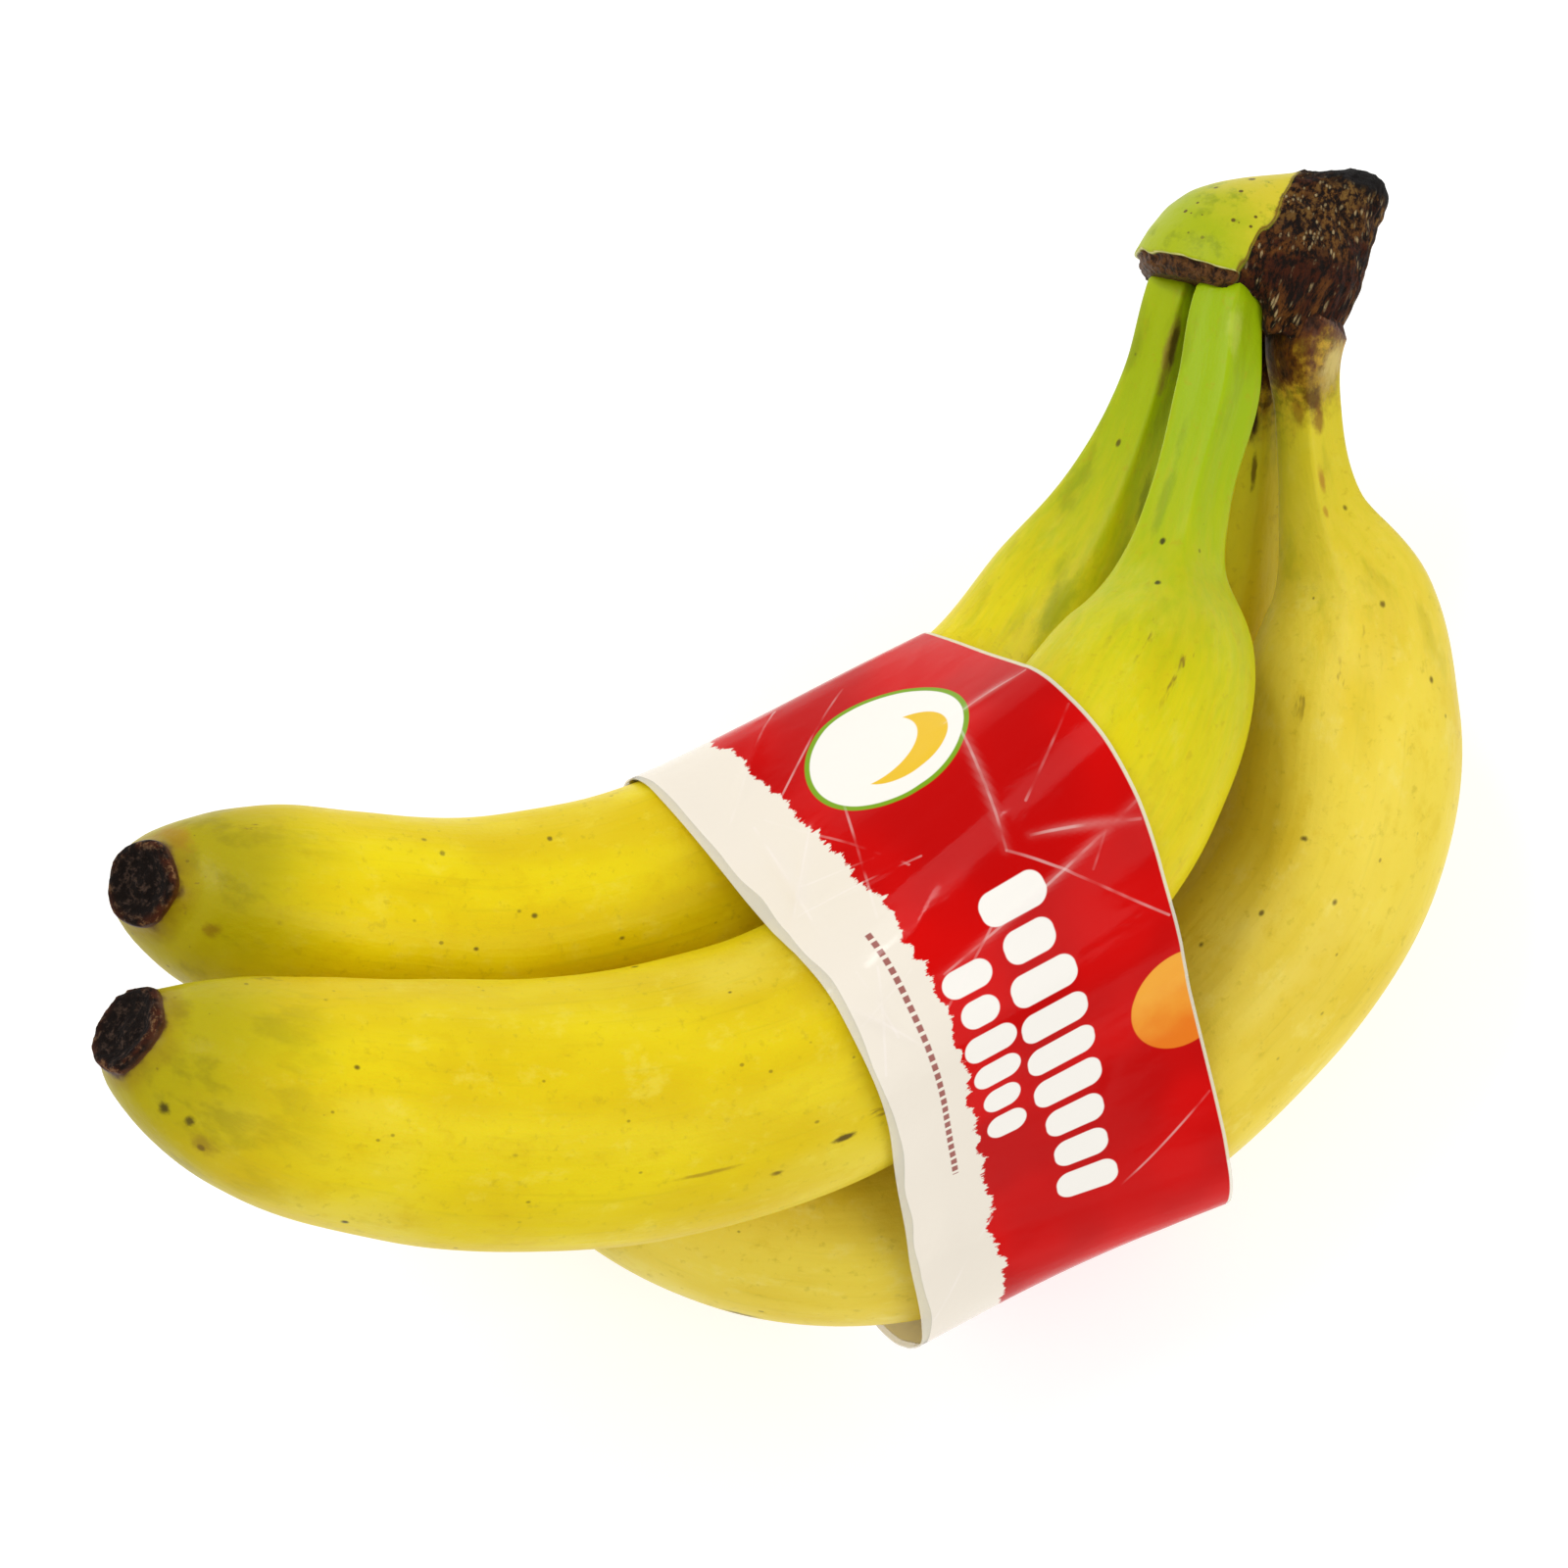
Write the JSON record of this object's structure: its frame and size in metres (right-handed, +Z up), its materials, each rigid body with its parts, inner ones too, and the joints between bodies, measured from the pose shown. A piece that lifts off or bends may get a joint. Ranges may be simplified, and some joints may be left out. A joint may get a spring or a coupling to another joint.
{
  "type": "bunch of bananas",
  "caption": "Bunch of ripe yellow bananas joined at a cut crown and held round the middle by a printed film band, lying on its side.",
  "frame": {"origin": "centre of the bounding box's footprint, on the surface that the bunch lies on", "axes": "+Z up from the surface, +X from the fruit tips towards the back of the outer fruit, +Y towards the crown"},
  "size_m": [0.2028, 0.1786, 0.1087],
  "materials": {
    "banana_skin": "satin",
    "crown_rind": "matt, dried and fibrous on one side",
    "printed_film": "glossy"
  },
  "bodies": {
    "root": {"banana_upper": "banana_skin", "banana_front": "banana_skin", "banana_rear": "banana_skin", "banana_outer": "banana_skin", "crown": "crown_rind", "film_band": "printed_film"}
  },
  "joints": []
}
